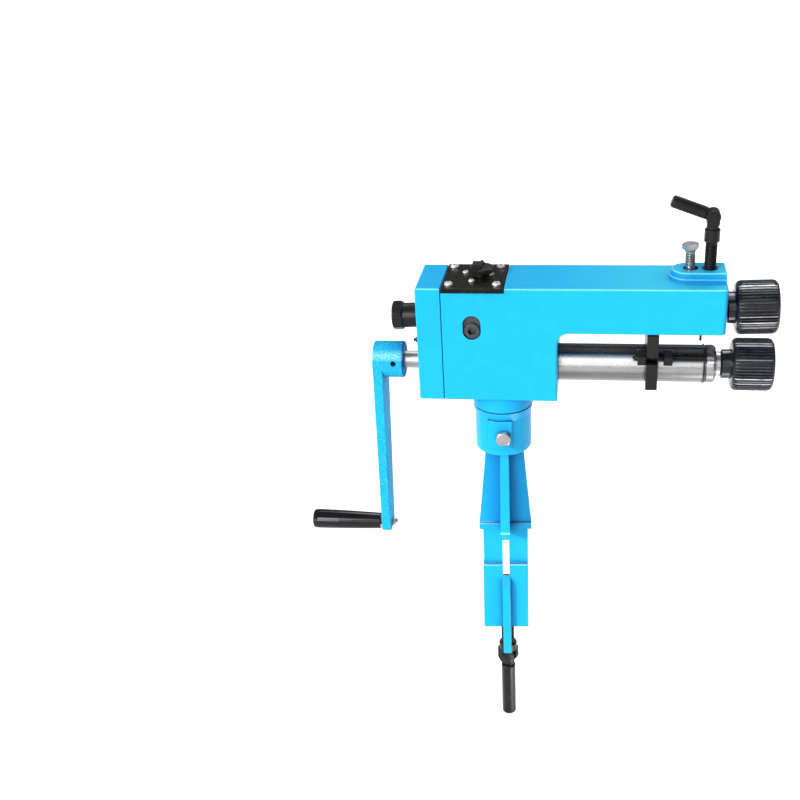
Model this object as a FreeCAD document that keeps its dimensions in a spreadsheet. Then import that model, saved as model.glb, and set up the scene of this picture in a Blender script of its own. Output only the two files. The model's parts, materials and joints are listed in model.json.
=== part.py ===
import FreeCAD, Part
import Sketcher
import math
import os
from FreeCAD import Placement, Rotation, Vector

# Hand cranked sheet metal crimper on a bench standard.
# Frame of the model, in millimetres: the origin is on the underside of the upper
# bench jaw, on the swivel axis of the head. +Z is up, +X runs along the two roll
# shafts towards the rolls, -Y is the side the C of the bench clamp turns its back to.

doc = FreeCAD.newDocument("crimper")
sheet = doc.addObject("Spreadsheet::Sheet", "Sizes")

SIZES = [
    # shafts and head casting
    ("shaft_height", 211.0, "lower shaft axis above the bench"),
    ("axis_gap", 54.8, "distance of the two shafts with the rolls closed"),
    ("swing_angle", 1.96, "how far the upper shaft is raised at rest, degrees"),
    ("pivot_x", -28.0, "pivot of the swing sleeve"),
    ("pivot_height", 260.0, "height of the pivot above the bench"),
    ("head_half", 37.7, "half depth of the head"),
    ("head_left", -59.5, "left face of the frame casting"),
    ("cover_left", -86.8, "left face of the gear cover"),
    ("body_right", 61.0, "right face of the frame body, end of the throat"),
    ("arm_right", 231.0, "end of the arm"),
    ("head_bottom", 180.6, "underside of the frame body"),
    ("head_top", 307.8, "top of the frame"),
    ("arm_bottom", 258.5, "underside of the arm"),
    ("roof_thick", 8.0, "roof of the arm"),
    ("pad_top", 318.0, "top of the boss pad at the arm's end"),
    ("pad_half", 19.0, "half width of the boss pad"),
    ("pad_left", 192.3, "centre of the pad's round end"),
    ("neck_radius", 33.0, "round neck under the frame"),
    ("neck_bottom", 162.6, "seam between the neck and the socket"),
    ("spigot_radius", 22.0, "swivel spigot"),
    ("spigot_bottom", 120.0, "lower end of the spigot"),
    ("tube_radius", 20.0, "lower tube"),
    ("tube_end", 214.5, "right end of the lower tube"),
    ("ring_end", 225.5, "right end of the bearing ring"),
    ("shaft_radius", 9.5, "both shafts"),
    ("sleeve_radius", 17.0, "swing sleeve"),
    # rolls and gears
    ("roll_radius", 27.9, "over the ridges"),
    ("roll_left", 241.8, "left face of the rolls"),
    ("roll_width", 43.6, "width of the rolls"),
    ("roll_corner", 6.0, "corner of the rolls"),
    ("ridge_count", 50, "ridges of each roll"),
    ("ridge_depth", 2.0, "depth of a groove"),
    ("hub_radius", 15.5, "hub of the lower roll"),
    ("gear_teeth", 21, "teeth of each gear"),
    ("gear_pitch", 26.25, "pitch radius"),
    ("gear_tip", 28.3, "tip radius"),
    ("gear_root", 23.1, "root radius"),
    ("gear_left", -77.0, "left face of the gears"),
    ("gear_width", 14.0, "face width"),
    # crank
    ("crank_radius", 212.0, "shaft to handle"),
    ("crank_left", -141.2, "left face of the hub"),
    ("crank_right", -107.7, "right face of the hub"),
    ("crank_hub", 20.0, "hub radius"),
    ("grip_length", 82.2, "hand grip"),
    ("grip_big", 11.6, "radius of the grip's free end"),
    ("grip_small", 9.6, "radius of the grip beside the arm"),
    ("grip_right", -148.2, "right face of the grip"),
    ("pin_radius", 4.5, "grip pin"),
    # screws of the head
    ("press_x", 214.0, "axis of the pressure screw"),
    ("press_radius", 6.0, "pressure screw thread"),
    ("stop_x", 196.0, "axis of the stop bolt"),
    ("stop_radius", 4.95, "stop bolt thread"),
    # bench standard
    ("socket_radius", 31.0, "round socket"),
    ("socket_bottom", 109.0, "lower end of the socket"),
    ("wing_top", 21.2, "half width of the column at its top"),
    ("wing_foot", 30.3, "half width of the column at its foot"),
    ("jaw_reach", 66.0, "reach of the upper jaw behind the swivel axis"),
    ("jaw_thick", 8.0, "upper jaw"),
    ("spine_half", 26.0, "half width of the spine"),
    ("spine_bottom", -138.6, "lower end of the spine"),
    ("screw_y", 27.0, "clamp screw behind the swivel axis"),
    ("clamp_radius", 7.9, "clamp screw thread"),
    ("clamp_top", -98.0, "top of the clamp pad at rest"),
    ("clamp_pivot", -214.0, "fold pivot of the clamp bar"),
    ("stand_yaw", 4.5, "turn of the standard under the head, degrees"),
]


class Dim:
    """A size that carries its value and the sheet expression it comes from."""

    def __init__(self, value, text):
        self.value = float(value)
        self.text = text

    @staticmethod
    def of(other):
        if isinstance(other, Dim):
            return other
        return Dim(other, repr(round(float(other), 6)))

    def __add__(self, other):
        o = Dim.of(other)
        return Dim(self.value + o.value, "(%s + %s)" % (self.text, o.text))

    __radd__ = __add__

    def __sub__(self, other):
        o = Dim.of(other)
        return Dim(self.value - o.value, "(%s - %s)" % (self.text, o.text))

    def __rsub__(self, other):
        return Dim.of(other) - self

    def __mul__(self, other):
        o = Dim.of(other)
        return Dim(self.value * o.value, "(%s * %s)" % (self.text, o.text))

    __rmul__ = __mul__

    def __truediv__(self, other):
        o = Dim.of(other)
        return Dim(self.value / o.value, "(%s / %s)" % (self.text, o.text))

    def __neg__(self):
        return Dim(-self.value, "(0 - %s)" % self.text)


D = {}
for row, (name, value, note) in enumerate(SIZES, start=1):
    sheet.set("A%d" % row, name)
    sheet.set("B%d" % row, str(value))
    sheet.set("C%d" % row, note)
    sheet.setAlias("B%d" % row, name)
    D[name] = Dim(value, "Sizes." + name)
doc.recompute()

AXES = {
    "Z": Rotation(),
    "-Z": Rotation(Vector(1, 0, 0), 180),
    "X": Rotation(Vector(0, 1, 0), 90),
    "-X": Rotation(Vector(0, 1, 0), -90),
    "Y": Rotation(Vector(1, 0, 0), -90),
    "-Y": Rotation(Vector(1, 0, 0), 90),
}
counter = [0]


def fresh(kind):
    counter[0] += 1
    return "%s_%03d" % (kind, counter[0])


def bind(obj, prop, value):
    d = Dim.of(value)
    setattr(obj, prop, d.value)
    if "Sizes." in d.text:
        obj.setExpression(prop, d.text)


placed = {}


def place(obj, pos, rot):
    dims = [Dim.of(p) for p in pos]
    placed[obj.Name] = dims
    obj.Placement = Placement(Vector(*[d.value for d in dims]), rot)
    for axis, d in zip("xyz", dims):
        if "Sizes." in d.text:
            obj.setExpression("Placement.Base." + axis, d.text)


def cyl(radius, length, pos, axis="Z"):
    o = doc.addObject("Part::Cylinder", fresh("cyl"))
    bind(o, "Radius", radius)
    bind(o, "Height", length)
    place(o, pos, AXES[axis] if isinstance(axis, str) else axis)
    return o


def cone(r_start, r_end, length, pos, axis="Z"):
    o = doc.addObject("Part::Cone", fresh("cone"))
    bind(o, "Radius1", r_start)
    bind(o, "Radius2", r_end)
    bind(o, "Height", length)
    place(o, pos, AXES[axis])
    return o


def box(x0, x1, y0, y1, z0, z1):
    o = doc.addObject("Part::Box", fresh("box"))
    bind(o, "Length", Dim.of(x1) - Dim.of(x0))
    bind(o, "Width", Dim.of(y1) - Dim.of(y0))
    bind(o, "Height", Dim.of(z1) - Dim.of(z0))
    place(o, (x0, y0, z0), Rotation())
    return o


def hexagon(across, length, pos, axis="Z", turn=0.0):
    o = doc.addObject("Part::Prism", fresh("hex"))
    o.Polygon = 6
    bind(o, "Circumradius", Dim.of(across) / math.sqrt(3))
    bind(o, "Height", length)
    place(o, pos, AXES[axis].multiply(Rotation(Vector(0, 0, 1), turn)))
    return o


WAYS = {"Z": (0, 0, 1), "-Z": (0, 0, -1), "X": (1, 0, 0), "-X": (-1, 0, 0), "Y": (0, 1, 0), "-Y": (0, -1, 0)}


def along(pos, axis, step):
    """The point that lies a step from pos along an axis."""
    return tuple(Dim.of(p) + w * step for p, w in zip(pos, WAYS[axis]))


def hexhead(across, length, pos, axis="Z", turn=0.0, both=False):
    """Hexagon whose corners are turned off at its outer end, or at both."""
    corner = across / math.sqrt(3)
    flat = across * 0.475
    drop = (corner - flat) * 0.6
    start = drop if both else 0.0
    env = [cyl(corner + 0.05, length - drop - start, along(pos, axis, start), axis),
           cone(corner + 0.05, flat, drop, along(pos, axis, length - drop), axis)]
    if both:
        env.append(cone(flat, corner + 0.05, drop, pos, axis))
    return common(hexagon(across, length, pos, axis, turn), fuse(env))


def sphere(radius, pos):
    o = doc.addObject("Part::Sphere", fresh("ball"))
    bind(o, "Radius", radius)
    place(o, pos, Rotation())
    return o


def wedge(x0, x1, y0, y1, z0, z1, tx0, tx1, ty0, ty1):
    """A frustum: rectangle x0..x1, y0..y1 at z0 and tx0..tx1, ty0..ty1 at z1.
    The primitive grows along its own Y, so it is stood up by a quarter turn."""
    o = doc.addObject("Part::Wedge", fresh("wedge"))
    # own X = X, own Y = Z, own Z = -Y
    bind(o, "Xmin", x0)
    bind(o, "Xmax", x1)
    bind(o, "Ymin", 0.0)
    bind(o, "Ymax", Dim.of(z1) - Dim.of(z0))
    bind(o, "Zmin", -Dim.of(y1))
    bind(o, "Zmax", -Dim.of(y0))
    bind(o, "X2min", tx0)
    bind(o, "X2max", tx1)
    bind(o, "Z2min", -Dim.of(ty1))
    bind(o, "Z2max", -Dim.of(ty0))
    place(o, (0.0, 0.0, z0), Rotation(Vector(1, 0, 0), 90))
    return o


def fuse(parts, name=None):
    """Union of the parts, one after the other."""
    o = parts[0]
    for p in parts[1:]:
        f = doc.addObject("Part::Fuse", fresh("fuse"))
        f.Base = o
        f.Tool = p
        f.Refine = True
        o = f
    if name:
        o.Label = name
    return o


def cut(base, tools, name=None):
    o = doc.addObject("Part::Cut", fresh("cut"))
    o.Base = base
    o.Tool = tools[0] if len(tools) == 1 else fuse(tools)
    o.Refine = True
    if name:
        o.Label = name
    return o


def common(base, tool, name=None):
    o = doc.addObject("Part::Common", fresh("common"))
    o.Base = base
    o.Tool = tool
    if name:
        o.Label = name
    return o


def fillet(base, radius, pick, name=None):
    """Round the straight or round edges that pick(edge) chooses."""
    doc.recompute()
    edges = [(i, radius, radius) for i, e in enumerate(base.Shape.Edges, start=1) if pick(e)]
    o = doc.addObject("Part::Fillet", fresh("fillet"))
    o.Base = base
    o.Edges = edges
    doc.recompute()
    if not edges or "Invalid" in o.State or o.Shape.isNull() or not o.Shape.isValid():
        print("fillet left out:", name or base.Label, len(edges))
        doc.removeObject(o.Name)
        if name:
            base.Label = name
        return base
    if name:
        o.Label = name
    return o


def outline(sk, pts):
    """Closed polygon; each corner is tied to the sheet by two constraints."""
    vals = [(Dim.of(a), Dim.of(b)) for a, b in pts]
    n = len(vals)
    for i in range(n):
        p, q = vals[i], vals[(i + 1) % n]
        sk.addGeometry(
            Part.LineSegment(Vector(p[0].value, p[1].value, 0), Vector(q[0].value, q[1].value, 0)), False
        )
    for i in range(n):
        sk.addConstraint(Sketcher.Constraint("Coincident", i, 2, (i + 1) % n, 1))
    for i in range(n):
        for k, kind in ((0, "DistanceX"), (1, "DistanceY")):
            d = vals[i][k]
            if abs(d.value) < 1e-9:
                sk.addConstraint(Sketcher.Constraint("PointOnObject", i, 1, -2 if k == 0 else -1))
            else:
                c = sk.addConstraint(Sketcher.Constraint(kind, -1, 1, i, 1, d.value))
                if "Sizes." in d.text:
                    sk.setExpression("Constraints[%d]" % c, d.text)


def origin_plane(body, role):
    return [f for f in body.Origin.OriginFeatures if getattr(f, "Role", "") == role][0]


def turned(name, pts, pos, axis):
    """PartDesign body turned from a profile of (radius, distance along the axis)."""
    body = doc.addObject("PartDesign::Body", fresh("body"))
    body.Label = name
    sk = body.newObject("Sketcher::SketchObject", fresh("profile"))
    sk.AttachmentSupport = [(origin_plane(body, "XZ_Plane"), "")]
    sk.MapMode = "FlatFace"
    outline(sk, pts)
    rev = body.newObject("PartDesign::Revolution", fresh("turn"))
    rev.Profile = sk
    rev.ReferenceAxis = (sk, ["V_Axis"])
    rev.Angle = 360.0
    body.Tip = rev
    place(body, pos, AXES[axis] if isinstance(axis, str) else axis)
    doc.recompute()
    return body


def grooves(body, shape_pts, count, length, start):
    """Cut one groove of the given section along the body's axis and repeat it round."""
    sk = body.newObject("Sketcher::SketchObject", fresh("groove_section"))
    sk.AttachmentSupport = [(origin_plane(body, "XY_Plane"), "")]
    sk.MapMode = "FlatFace"
    sk.AttachmentOffset = Placement(Vector(0, 0, Dim.of(start).value), Rotation())
    outline(sk, shape_pts)
    doc.recompute()
    before = body.Shape.Volume
    pocket = body.newObject("PartDesign::Pocket", fresh("groove"))
    pocket.Profile = sk
    bind(pocket, "Length", length)
    pocket.Reversed = True
    body.Tip = pocket
    doc.recompute()
    if not body.Shape.Volume < before - 1e-3:
        pocket.Reversed = False
        doc.recompute()
    assert body.Shape.Volume < before - 1e-3, "groove cuts nothing"
    one = before - body.Shape.Volume
    pattern = body.newObject("PartDesign::PolarPattern", fresh("round"))
    pattern.Originals = [pocket]
    pattern.Axis = (sk, ["N_Axis"])
    pattern.Angle = 360.0
    pattern.Occurrences = int(Dim.of(count).value)
    pattern.setExpression("Occurrences", Dim.of(count).text)
    body.Tip = pattern
    doc.recompute()
    assert body.Shape.Volume < before - one * (int(Dim.of(count).value) - 1), "pattern missing"
    return body


def prism(pts, pos, rot, length):
    """Extrusion of a closed polygon drawn in the plane given by pos and rot."""
    sk = doc.addObject("Sketcher::SketchObject", fresh("section"))
    place(sk, pos, rot)
    outline(sk, pts)
    o = doc.addObject("Part::Extrusion", fresh("prism"))
    o.Base = sk
    o.DirMode = "Normal"
    bind(o, "LengthFwd", length)
    o.Solid = True
    return o


# planes of polygon sections: XZ looking along +Y, YZ looking along -X
XZ = Rotation(Vector(1, 0, 0), 90)   # sketch x = X, sketch y = Z, normal = -Y
YZ = Rotation(Vector(0.5773503, 0.5773503, 0.5773503), 120)  # sketch x = Y, sketch y = Z, normal = +X

nodes = []


def node(obj, name, *moves):
    """Name a sub-part; moves carry it on, the outermost one first."""
    obj.Label = name
    if moves:
        own = obj.Placement.Rotation
        base = placed.get(obj.Name, [Dim.of(0.0)] * 3)
        for axis in "xyz":
            obj.setExpression("Placement.Base." + axis, None)
        here = "placement(vector(%s; %s; %s); rotation(vector(%.9f; %.9f; %.9f); %.9f))" % (
            base[0].text, base[1].text, base[2].text, own.Axis.x, own.Axis.y, own.Axis.z, math.degrees(own.Angle))
        obj.setExpression("Placement", " * ".join(list(moves) + [here]))
    nodes.append(obj)
    return obj


zs = D["shaft_height"]
zu = zs + D["axis_gap"]
hh = D["head_half"]
alpha = D["swing_angle"].value

# raised position of the swing sleeve and all it carries: a turn about the pivot pins
SWING = ("placement(vector(0; 0; 0); rotation(vector(0; 1; 0); -Sizes.swing_angle); "
         "vector(Sizes.pivot_x; 0; Sizes.pivot_height))")
# the whole standard is turned under the head; the clamp screw is turned a little on its own axis
YAW = "placement(vector(0; 0; 0); rotation(vector(0; 0; 1); Sizes.stand_yaw))"
CLAMP_TURN = "placement(vector(0; 0; 0); rotation(vector(0; 0; 1); 52); vector(0; Sizes.screw_y; 0))"


def raised(x, z):
    """Where a point drawn with the rolls closed stands when the sleeve is raised."""
    a = math.radians(alpha)
    dx, dz = x - D["pivot_x"].value, z - D["pivot_height"].value
    return (D["pivot_x"].value + dx * math.cos(a) - dz * math.sin(a),
            D["pivot_height"].value + dx * math.sin(a) + dz * math.cos(a))


# ---------------------------------------------------------------- bench standard
sr = D["socket_radius"]
st = D["neck_bottom"] - 0.3
sb = D["socket_bottom"]
sh = D["spine_half"]
spb = D["spine_bottom"]
sy = D["screw_y"]
standard = fuse([
    cyl(sr, st - sb - 9.0, (0, 0, sb), "Z"),
    cone(sr, D["neck_radius"], 11.0, (0, 0, st - 11.0), "Z"),
    common(cyl(33.4, st - 10.0 - 119.0, (0, 0, 119.0), "Z"), box(-17.0, 9.6, -35.0, -14.0, 119.0, st - 10.0)),
    # column: two side wings and a front and a rear web
    wedge(-D["wing_foot"], D["wing_foot"], -7.5, 3.0, 4.0, sb + 3.0, 1.4 - D["wing_top"], D["wing_top"], -7.0, 3.0),
    wedge(-5.4, 5.4, -34.0, 0.0, 0.0, sb + 3.0, -4.4, 5.4, -24.0, 0.0),
    wedge(-5.4, 5.4, 0.0, 56.0, 4.0, sb + 3.0, -4.4, 5.4, 0.0, 24.0),
    # upper jaw
    prism([(-D["wing_foot"], -10.5), (D["wing_foot"], -10.5), (D["wing_foot"], 5.0), (20.0, D["jaw_reach"]),
           (-20.0, D["jaw_reach"]), (-D["wing_foot"], 5.0)], (0, 0, 0), Rotation(), D["jaw_thick"]),
    # spine: thin panel under the jaw, thicker block below it
    box(-sh, sh, -10.0, -2.0, -50.0, 1.0),
    wedge(-sh - 1.9, sh, -14.0, -2.0, spb, -47.5, -sh - 0.9, sh, -14.0, -2.0),
    # lower jaw with the tapped boss, and the rib round the outside of the C
    box(-20.0, 20.0, -14.0, sy, spb, spb + 13.0),
    cyl(19.0, 30.0, (0, sy, spb - 11.0), "Z"),
    prism([(-21.5, -75.0), (-13.0, -63.0), (-13.0, -128.0), (12.0, -128.0), (12.0, -150.0), (-10.0, -173.6),
           (-21.5, -173.6)], (-4.7, 0, 0), YZ, 9.4),
])
tools = [
    cyl(D["spigot_radius"] + 0.05, st - D["spigot_bottom"] + 5.0, (0, 0, D["spigot_bottom"] - 3.0), "Z"),
    cyl(5.0, 20.0, (0, -16.0, 133.5), "-Y"),
    cyl(D["clamp_radius"] + 0.05, 60.0, (0, sy, spb - 25.0), "Z"),
    # slot through the spine below the jaw, its floor sloping down to the back
    box(-3.9, 3.9, -24.0, 0.0, -58.0, -12.0),
    prism([(-3.9, -50.0), (3.9, -50.0), (3.9, -58.5), (2.3, -62.0), (-2.3, -62.0), (-3.9, -58.5)],
          (0, -1.0, -1.5), XZ, 24.0),
    prism([(-14.5, -57.0), (-1.0, -57.0), (-1.0, -72.0), (-14.5, -63.0)], (-3.9, 0, 0), YZ, 7.8),
]
# dark line between the neck and the socket
rebate = cut(cyl(D["neck_radius"] + 3.0, 4.0, (0, 0, st - 1.2), "Z"), [cyl(D["neck_radius"] - 2.4, 8.0, (0, 0, st - 3.0), "Z")])
standard = cut(standard, tools + [rebate])
doc.recompute()


def near(a, b, tol=0.2):
    return abs(a - b) < tol


def pick_standard(e):
    b = e.BoundBox
    # long edges of the spine and of the webs
    if b.XLength < 0.1 and b.YLength < 0.1 and b.ZLength > 60 and near(abs(b.XMax), 26.0) and near(b.YMax, -14.0):
        return True
    if b.XLength < 0.1 and b.YLength < 0.1 and b.ZLength > 60 and near(b.YMax, -21.5) and near(abs(b.XMax), 4.7):
        return True
    if b.ZLength < 0.1 and near(b.ZMax, D["socket_bottom"].value) and b.XLength > 15 and b.YLength > 5:
        return True
    return False


standard = fillet(standard, 1.6, pick_standard)
standard = fillet(standard, 2.6, lambda e: e.BoundBox.ZLength < 0.1 and near(e.BoundBox.ZMax, 8.0) and e.BoundBox.XLength > 20
                  and near(e.BoundBox.YMax, -10.5))
node(standard, "bench_standard", YAW)

bolt = fuse([
    hexhead(15.0, 6.5, (0, -33.4, 133.5), "-Y", 10.0),
    cyl(4.95, 11.3, (0, -22.3, 133.5), "-Y"),
])
node(bolt, "socket_bolt", YAW)

# ---------------------------------------------------------------- bench clamp screw
cr = D["clamp_radius"]
ct = D["clamp_top"]
cp = D["clamp_pivot"]
pad = turned("clamp_pad", [(5.15, 0), (10.0, 0), (13.5, 3.5), (13.5, 8.0), (12.5, 9.0), (0, 9.0), (0, 6.0), (5.15, 6.0)],
             (0, sy, ct - 9.0), "Z")
node(pad, "clamp_pad", YAW)
screw = fuse([
    cyl(5.0, 10.0, (0, sy, ct - 13.3), "Z"),
    cyl(cr, ct - 9.3 - cp - 20.0, (0, sy, cp + 20.0), "Z"),
    cyl(11.0, 8.2, (0, sy, cp + 12.5), "Z"),
    cone(11.0, 9.4, 1.6, (0, sy, cp + 20.7), "Z"),
    cyl(10.0, 17.0, (-8.5, sy, cp), "X"),
    box(-8.5, 8.5, sy - 9.8, sy + 9.8, cp, cp + 13.5),
])
screw = cut(screw, [
    box(-4.0, 4.0, sy - 15.0, sy + 15.0, cp - 20.0, cp + 9.5),
    cyl(3.5, 40.0, (-20.0, sy, cp), "X"),
])
node(screw, "clamp_screw", YAW, CLAMP_TURN)
cpin = fuse([cyl(3.45, 17.0, (-8.5, sy, cp), "X"), cone(3.9, 5.0, 1.4, (-9.9, sy, cp), "X"), cone(5.0, 3.9, 1.4, (8.5, sy, cp), "X")])
node(cpin, "clamp_bar_pin", YAW, CLAMP_TURN)
cbar = fuse([
    cyl(8.0, 7.4, (-3.7, sy, cp), "X"),
    box(-3.7, 3.7, sy - 7.0, sy + 7.0, cp - 18.0, cp),
    cyl(8.8, 75.5, (0, sy, cp - 91.0), "Z"),
    cone(8.8, 7.2, 1.5, (0, sy, cp - 15.5), "Z"),
    cone(5.4, 8.8, 3.6, (0, sy, cp - 94.6), "Z"),
])
cbar = cut(cbar, [cyl(3.52, 30.0, (-15.0, sy, cp), "X")])
node(cbar, "clamp_bar", YAW, CLAMP_TURN)

# ---------------------------------------------------------------- head casting
hl, br, ar = D["head_left"], D["body_right"], D["arm_right"]
hb, ht, ab = D["head_bottom"], D["head_top"], D["arm_bottom"]
roof = ht - D["roof_thick"]
outer = fuse([
    box(hl, br, -hh, hh, hb, ht),
    box(br - 2.0, ar, -hh, hh, ab, ht),
])
doc.recompute()
outer = fillet(outer, 12.0, lambda e: e.BoundBox.YLength > 70 and near(e.BoundBox.XMax, br.value) and near(e.BoundBox.ZMax, ab.value))
outer = fillet(outer, 5.0, lambda e: e.BoundBox.ZLength > 40 and e.BoundBox.XLength < 0.1 and near(e.BoundBox.XMax, ar.value))


def head_edges(e):
    b = e.BoundBox
    if b.XLength > 50 and b.YLength < 0.1 and b.ZLength < 0.1 and (near(b.ZMax, ht.value) or near(b.ZMax, hb.value) or near(b.ZMax, ab.value)):
        return True
    if b.ZLength > 60 and b.XLength < 0.1 and b.YLength < 0.1 and near(b.XMax, br.value):
        return True
    return False


outer = fillet(outer, 2.0, head_edges)
pl = D["pad_left"]


def pad_step(half, z0, z1, radius):
    """One step of the boss pad: straight at the arm's end, round at the other, its upper edge rounded."""
    step = fuse([box(pl, ar - 1.0, -half, half, z0, z1), cyl(half, z1 - z0, (pl, 0, z0), "Z")])
    doc.recompute()
    top = z1.value
    return fillet(step, radius, lambda e: e.BoundBox.ZLength < 0.1 and abs(e.BoundBox.ZMax - top) < 0.1)


plug_x = -20.0
casting = fuse([
    outer,
    pad_step(D["pad_half"], ht - 2.0, ht + 4.2, 1.0),
    pad_step(D["pad_half"] - 2.2, ht + 1.0, D["pad_top"], 1.6),
])
hollow = [
    box(hl + 8.0, br - 9.0, -hh + 8.2, hh - 8.2, hb + 10.0, roof - 4.8),
    box(6.5, br - 9.0, -hh + 8.2, hh - 8.2, roof - 6.0, roof),
    box(-44.0, -6.0, -20.0, 20.0, roof - 6.0, ht + 1.0),
    # seat of the top plate
    box(hl - 1.0, 6.5, -hh - 1.0, hh + 1.0, ht - 4.6, ht + 1.0),
    # channel of the arm, open below, and its end slot for the sleeve
    box(br - 10.0, ar - 8.0, -27.0, 27.0, ab - 20.0, roof),
    box(ar - 9.0, ar + 1.0, -17.7, 17.7, ab - 1.0, 277.0),
    cyl(17.7, 12.0, (ar - 10.0, 0, 277.0), "X"),
]
# what the channel leaves of the body's right wall
keep = box(br - 9.0, br, -hh + 4.0, hh - 4.0, hb + 4.0, 247.0)
casting = cut(casting, hollow)
casting = fuse([
    casting,
    keep,
    cyl(27.0, 10.0, (br - 18.0, 0, zs), "X"),
    box(19.0, br - 8.0, -hh + 6.0, hh - 6.0, 224.0, 230.0),
])
casting = cut(casting, [
    cyl(D["tube_radius"] + 0.02, 40.0, (br - 22.0, 0, zs), "X"),
    cyl(15.02, 12.0, (hl - 1.0, 0, zs), "X"),
    cyl(14.0, 12.0, (hl - 1.0, 0, zu - 1.2), "X"),
    # pivot screws through both side walls, each in an oblong recess
    cyl(6.02, 100.0, (D["pivot_x"], -50.0, D["pivot_height"]), "Y"),
] + [piece for side in (-1.0, 1.0) for piece in (
    cyl(9.5, 6.0, (D["pivot_x"], side * (hh - 4.5), D["pivot_height"] + 0.5), "Y" if side > 0 else "-Y"),
    cyl(9.5, 6.0, (D["pivot_x"], side * (hh - 4.5), D["pivot_height"] + 8.5), "Y" if side > 0 else "-Y"),
    box(D["pivot_x"] - 9.5, D["pivot_x"] + 9.5,
        (hh - 4.5) if side > 0 else -hh - 1.5, (hh + 1.5) if side > 0 else -hh + 4.5,
        D["pivot_height"] + 0.5, D["pivot_height"] + 8.5))
] + [
    # pressure screw and stop bolt
    cyl(D["press_radius"] + 0.05, 30.0, (D["press_x"], 0, roof - 2.0), "Z"),
    cone(D["press_radius"], D["press_radius"] + 2.6, 2.6, (D["press_x"], 0, D["pad_top"] - 2.6), "Z"),
    cyl(7.6, 30.0, (D["stop_x"] - 1.0, 0, roof - 2.0), "Z"),
    # tapped holes of the plate screws and of the cover screws
    cyl(2.05, 9.0, (-52.0, -27.0, ht - 13.6), "Z"), cyl(2.05, 9.0, (-52.0, 27.0, ht - 13.6), "Z"),
    cyl(2.05, 9.0, (-2.0, -27.0, ht - 13.6), "Z"), cyl(2.05, 9.0, (-2.0, 27.0, ht - 13.6), "Z"),
    cyl(2.05, 7.0, (hl - 1.0, -33.0, 186.5), "X"), cyl(2.05, 7.0, (hl - 1.0, 33.0, 186.5), "X"),
    cyl(2.05, 7.0, (hl - 1.0, -33.0, 298.0), "X"), cyl(2.05, 7.0, (hl - 1.0, 33.0, 298.0), "X"),
    cyl(1.3, 11.0, (206.5, -31.0, ab - 1.0), "Z"),
])
node(casting, "head_frame")
node(fuse([
    cyl(D["neck_radius"], hb - D["neck_bottom"], (0, 0, D["neck_bottom"]), "Z"),
    cyl(D["spigot_radius"], D["neck_bottom"] - D["spigot_bottom"] + 2.0, (0, 0, D["spigot_bottom"]), "Z"),
]), "swivel_neck")

cl = D["cover_left"]
shell = box(cl, hl, -hh, hh, hb, ht)
doc.recompute()
shell = fillet(shell, 2.0, lambda e: (e.BoundBox.XLength > 10 or near(e.BoundBox.XMax, cl.value)))
cover = cut(shell, [
    box(cl + 5.0, hl + 1.0, -hh + 5.0, hh - 5.0, hb + 5.0, ht - 5.0),
    box(cl + 6.0, hl - 1.5, -13.0, 13.0, hb - 1.0, hb + 6.0),
    # joint line against the frame
    cut(box(hl - 1.0, hl + 1.0, -hh - 1.0, hh + 1.0, hb - 1.0, ht + 1.0),
        [box(hl - 2.0, hl + 2.0, -hh + 1.2, hh - 1.2, hb + 1.2, ht - 1.2)]),
    cyl(10.3, 12.0, (cl - 2.0, 0, zs), "X"),
    cyl(12.4, 12.0, (cl - 2.0, 0, zu - 1.9), "X"),
])
cover = fuse([cover] + [cyl(5.0, 23.5, (cl + 2.0, y, z), "X") for y in (-33.0, 33.0) for z in (186.5, 298.0)])
cover = common(cover, shell)
cover = cut(cover, [cyl(2.3, 40.0, (cl - 2.0, y, z), "X") for y in (-33.0, 33.0) for z in (186.5, 298.0)]
            + [cone(4.6, 2.2, 2.5, (cl - 0.01, y, z), "X") for y in (-33.0, 33.0) for z in (186.5, 298.0)]
            + [cyl(2.52, 12.0, (cl - 2.0, -33.2, 249.0), "X")])
node(cover, "gear_cover")

for i, (y, z) in enumerate([(-33.0, 186.5), (-33.0, 298.0), (33.0, 186.5), (33.0, 298.0)], start=1):
    s = fuse([cyl(2.0, 29.0, (cl + 0.4, y, z), "X"), cone(4.2, 2.0, 2.3, (cl + 0.1, y, z), "X")])
    s = cut(s, [box(cl - 1.0, cl + 1.5, y - 2.2, y + 2.2, z - 0.5, z + 0.5), box(cl - 1.0, cl + 1.5, y - 0.5, y + 0.5, z - 2.2, z + 2.2)])
    node(s, "cover_screw_%d" % i)
nip = fuse([cyl(2.5, 5.0, (cl, -33.2, 249.0), "X"), cyl(2.9, 1.4, (cl, -33.2, 249.0), "-X"),
            cyl(1.7, 2.4, (cl - 1.4, -33.2, 249.0), "-X")])
node(nip, "cover_grease_nipple")

plate = box(hl + 0.4, 6.0, -hh - 0.8, hh - 0.4, ht - 4.6, ht + 0.4)
doc.recompute()
plate = fillet(plate, 0.6, lambda e: near(e.BoundBox.ZMin, ht.value + 0.4))
small = [(-38.2, 9.5), (-29.2, -16.2), (-10.4, 4.0)]
plate = cut(plate, [cyl(2.3, 10.0, (x, y, ht - 6.0), "Z") for x in (-52.0, -2.0) for y in (-27.0, 27.0)]
            + [cyl(1.55, 10.0, (x, y, ht - 6.0), "Z") for x, y in small]
            + [cyl(8.05, 10.0, (plug_x, 0, ht - 6.0), "Z")])
node(plate, "top_plate")


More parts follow.
